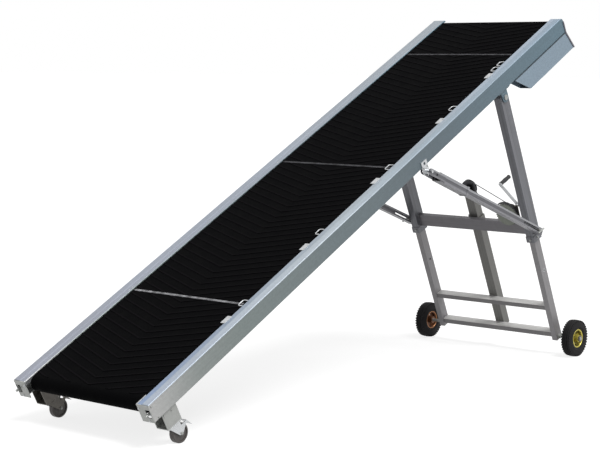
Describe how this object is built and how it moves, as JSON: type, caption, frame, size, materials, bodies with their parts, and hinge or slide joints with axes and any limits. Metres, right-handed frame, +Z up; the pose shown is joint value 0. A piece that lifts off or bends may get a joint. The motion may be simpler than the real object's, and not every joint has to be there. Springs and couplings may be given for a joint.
{
  "type": "portable belt conveyor",
  "caption": "Inclined belt conveyor on tail casters and a wheeled, winch-raised leg frame with telescopic struts.",
  "frame": {"origin": "on the floor under the middle of the machine", "axes": "+X from the tail to the raised head, +Y across, +Z up"},
  "size_m": [3.7464, 1.212, 2.0916],
  "materials": {
    "belt_rubber": "ribbed",
    "tyre": "moulded",
    "yellow_zinc": "yellow zinc plated",
    "caster_tread": "moulded",
    "zinc_hardware": "zinc plated",
    "black_plastic": "moulded",
    "drum_steel": "turned",
    "motor_paint": "enamel",
    "galvanised_sheet": "galvanised",
    "leg_tube": "mill finish, clear coated"
  },
  "bodies": {
    "deck": {"belt": "belt_rubber", "belt_lacing": "zinc_hardware", "caster_bracket_far": "zinc_hardware", "caster_bracket_near": "zinc_hardware", "caster_plate_far": "zinc_hardware", "caster_plate_near": "zinc_hardware", "cross_members": "galvanised_sheet", "drive_cover": "galvanised_sheet", "drive_motor": "motor_paint", "edge_tabs": "zinc_hardware", "guard_loops": "zinc_hardware", "head_bearing_far": "zinc_hardware", "head_bearing_near": "zinc_hardware", "head_drum": "drum_steel", "hinge_bracket_far": "galvanised_sheet", "hinge_bracket_near": "galvanised_sheet", "hinge_pin_far": "zinc_hardware", "hinge_pin_near": "zinc_hardware", "rail_far": "galvanised_sheet", "rail_near": "galvanised_sheet", "return_rollers": "zinc_hardware", "slider_bed": "galvanised_sheet", "strut_bracket_far": "galvanised_sheet", "strut_bracket_near": "galvanised_sheet", "tail_drum": "drum_steel", "tensioner_far": "zinc_hardware", "tensioner_near": "zinc_hardware"},
    "wheel_near": {"tyre_near": "tyre", "rim_near": "yellow_zinc"},
    "wheel_far": {"tyre_far": "tyre", "rim_far": "yellow_zinc"},
    "caster_near": {"caster_fork_near": "zinc_hardware"},
    "caster_far": {"caster_fork_far": "zinc_hardware"},
    "caster_roller_near": {"caster_wheel_near": "caster_tread"},
    "caster_roller_far": {"caster_wheel_far": "caster_tread"},
    "strut_sleeve_near": {"strut_sleeve_near": "leg_tube"},
    "strut_sleeve_far": {"strut_sleeve_far": "leg_tube"},
    "strut_slide_near": {"strut_tube_near": "leg_tube"},
    "strut_slide_far": {"strut_tube_far": "leg_tube"},
    "crank": {"crank_arm": "zinc_hardware", "crank_grip": "black_plastic"},
    "wheel_frame": {"axle_bar": "leg_tube", "centre_post": "leg_tube", "low_crossbar": "leg_tube", "lower_leg_far": "leg_tube", "lower_leg_near": "leg_tube", "sheave": "zinc_hardware", "stub_axle_far": "zinc_hardware", "stub_axle_near": "zinc_hardware"},
    "leg_frame": {"leg_collar_far": "leg_tube", "leg_collar_near": "leg_tube", "post_guide": "leg_tube", "strut_pin_far": "zinc_hardware", "strut_pin_near": "zinc_hardware", "upper_crossbar": "leg_tube", "upper_leg_far": "leg_tube", "upper_leg_near": "leg_tube", "winch_frame": "zinc_hardware", "winch_gear": "zinc_hardware"}
  },
  "joints": [
    {"name": "leg_fold", "type": "hinge", "parent": "deck", "child": "leg_frame", "pos_m": [1.06965, 0, 1.61695], "axis": [0, 1, 0], "range_deg": [-12, 10]},
    {"name": "leg_extension", "type": "slide", "parent": "leg_frame", "child": "wheel_frame", "axis": [0.4171, 0, -0.9089], "range_m": [-0.4, 0.14]},
    {"name": "winch_crank", "type": "hinge", "parent": "leg_frame", "child": "crank", "pos_m": [1.4765, -0.3, 0.95094], "axis": [0.9089, 0, 0.4171], "continuous": true},
    {"name": "wheel_spin_near", "type": "hinge", "parent": "wheel_frame", "child": "wheel_near", "pos_m": [1.75888, -0.559, 0.115], "axis": [0, 1, 0], "continuous": true},
    {"name": "caster_swivel_near", "type": "hinge", "parent": "deck", "child": "caster_near", "pos_m": [-1.68485, -0.427, 0.10479], "axis": [-0.4695, 0, 0.8829], "continuous": true},
    {"name": "caster_spin_near", "type": "hinge", "parent": "caster_near", "child": "caster_roller_near", "pos_m": [-1.62175, -0.427, 0.05], "axis": [0, 1, 0], "continuous": true},
    {"name": "strut_hinge_near", "type": "hinge", "parent": "deck", "child": "strut_sleeve_near", "pos_m": [0.27002, -0.482, 1.21443], "axis": [0, 1, 0], "range_deg": [-7, 7]},
    {"name": "strut_slide_near", "type": "slide", "parent": "strut_sleeve_near", "child": "strut_slide_near", "axis": [0.9431, 0, -0.3325], "range_m": [-0.13, 0.15]},
    {"name": "wheel_spin_far", "type": "hinge", "parent": "wheel_frame", "child": "wheel_far", "pos_m": [1.75888, 0.559, 0.115], "axis": [0, 1, 0], "continuous": true},
    {"name": "caster_swivel_far", "type": "hinge", "parent": "deck", "child": "caster_far", "pos_m": [-1.68485, 0.427, 0.10479], "axis": [-0.4695, 0, 0.8829], "continuous": true},
    {"name": "caster_spin_far", "type": "hinge", "parent": "caster_far", "child": "caster_roller_far", "pos_m": [-1.62175, 0.427, 0.05], "axis": [0, 1, 0], "continuous": true},
    {"name": "strut_hinge_far", "type": "hinge", "parent": "deck", "child": "strut_sleeve_far", "pos_m": [0.27002, 0.482, 1.21443], "axis": [0, 1, 0], "range_deg": [-7, 7]},
    {"name": "strut_slide_far", "type": "slide", "parent": "strut_sleeve_far", "child": "strut_slide_far", "axis": [0.9431, 0, -0.3325], "range_m": [-0.13, 0.15]}
  ],
  "couplings": [
    {"joint": "strut_hinge_near", "follows": "leg_fold", "ratio": 0.4904},
    {"joint": "strut_slide_near", "follows": "leg_fold", "m_per_rad": -0.6455},
    {"joint": "strut_hinge_far", "follows": "leg_fold", "ratio": 0.4904},
    {"joint": "strut_slide_far", "follows": "leg_fold", "m_per_rad": -0.6455}
  ]
}
